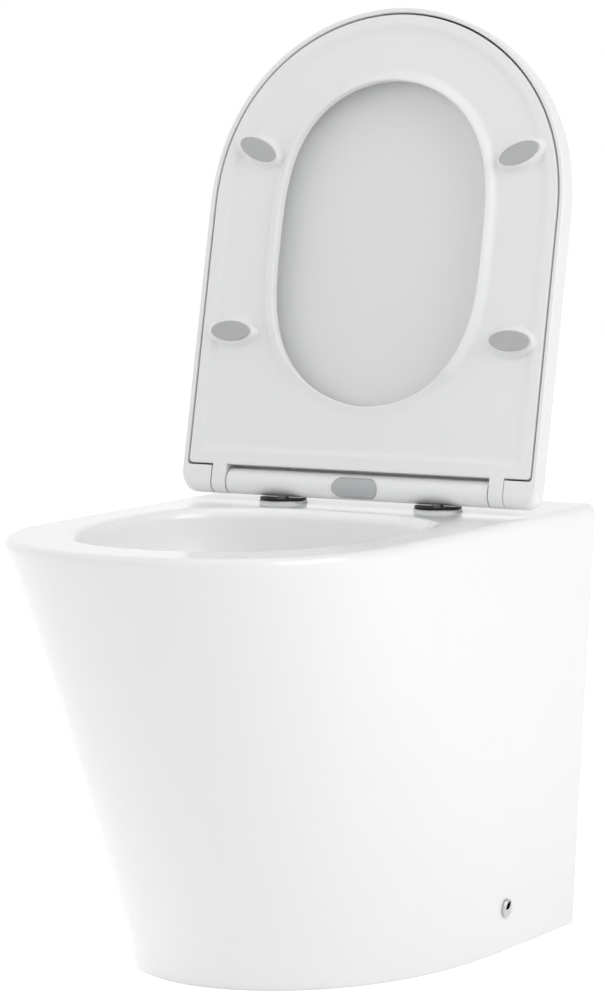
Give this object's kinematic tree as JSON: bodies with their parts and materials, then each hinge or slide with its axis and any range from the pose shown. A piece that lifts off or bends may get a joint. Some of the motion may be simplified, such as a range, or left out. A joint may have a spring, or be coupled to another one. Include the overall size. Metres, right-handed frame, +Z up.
{
  "type": "back to wall toilet",
  "caption": "Back to wall toilet pan with a flared skirt and rimless bowl, a raised D-shaped seat and wrap-over lid on a soft-close hinge bar with a release button.",
  "frame": {"origin": "on the floor, in the middle of the pan's width and of its depth from wall to front", "axes": "+X to the right seen from the front, +Y towards the wall, +Z up"},
  "size_m": [0.3616, 0.562, 0.8403],
  "materials": {
    "glaze": "white gloss glaze",
    "moulded": "white gloss moulding",
    "inner_plastic": "pale satin moulding",
    "soft_grey": "grey soft rubber",
    "button_grey": "grey satin",
    "black_rubber": "black rubber",
    "chrome": "polished chrome",
    "steel": "plain stainless steel"
  },
  "bodies": {
    "pan": {"pan": "glaze", "floor_bracket_left": "inner_plastic", "floor_bracket_right": "inner_plastic", "side_sleeve_left": "inner_plastic", "side_sleeve_right": "inner_plastic", "side_screw_left": "steel", "side_screw_right": "steel", "side_cap_left": "chrome", "side_cap_right": "chrome", "rosette_gasket_left": "inner_plastic", "rosette_gasket_right": "inner_plastic", "rosette_left": "chrome", "rosette_right": "chrome", "hinge_post_left": "steel", "hinge_post_right": "steel", "deck_washer_left": "black_rubber", "deck_washer_right": "black_rubber", "wing_nut_left": "inner_plastic", "wing_nut_right": "inner_plastic", "hinge_bar": "moulded", "hinge_bar_cover": "moulded", "lid_damper": "steel", "seat_damper": "steel", "latch_spring": "steel"},
    "seat": {"seat_ring": "moulded", "seat_bush": "inner_plastic", "seat_buffer_rear_left": "soft_grey", "seat_buffer_rear_right": "soft_grey", "seat_buffer_front_left": "soft_grey", "seat_buffer_front_right": "soft_grey", "seat_hinge_pin": "steel"},
    "lid": {"lid": "moulded", "lid_bush": "inner_plastic", "lid_hinge_pin": "steel", "lid_buffer_left": "soft_grey", "lid_buffer_right": "soft_grey"},
    "release_button": {"release_button": "button_grey"},
    "latch_left": {"latch_left": "inner_plastic"},
    "latch_right": {"latch_right": "inner_plastic"}
  },
  "joints": [
    {"name": "seat_hinge", "type": "hinge", "parent": "pan", "child": "seat", "pos_m": [0, 0.1595, 0.407], "axis": [1, 0, 0], "range_deg": [0, 102.26]},
    {"name": "lid_hinge", "type": "hinge", "parent": "pan", "child": "lid", "pos_m": [0, 0.1595, 0.407], "axis": [1, 0, 0], "range_deg": [0, 102.26]},
    {"name": "release_button_slide", "type": "slide", "parent": "pan", "child": "release_button", "axis": [0, 1, 0], "range_m": [0, 0.003], "stiffness_N_per_m": 400, "springref_m": -0.002},
    {"name": "latch_left_slide", "type": "slide", "parent": "pan", "child": "latch_left", "axis": [1, 0, 0], "range_m": [0, 0.002], "deforming": ["latch_spring"]},
    {"name": "latch_right_slide", "type": "slide", "parent": "pan", "child": "latch_right", "axis": [-1, 0, 0], "range_m": [0, 0.002]}
  ],
  "couplings": [
    {"joint": "lid_hinge", "follows": "seat_hinge", "ratio": 1},
    {"joint": "latch_left_slide", "follows": "release_button_slide", "ratio": 0.6666},
    {"joint": "latch_right_slide", "follows": "release_button_slide", "ratio": 0.6666}
  ]
}
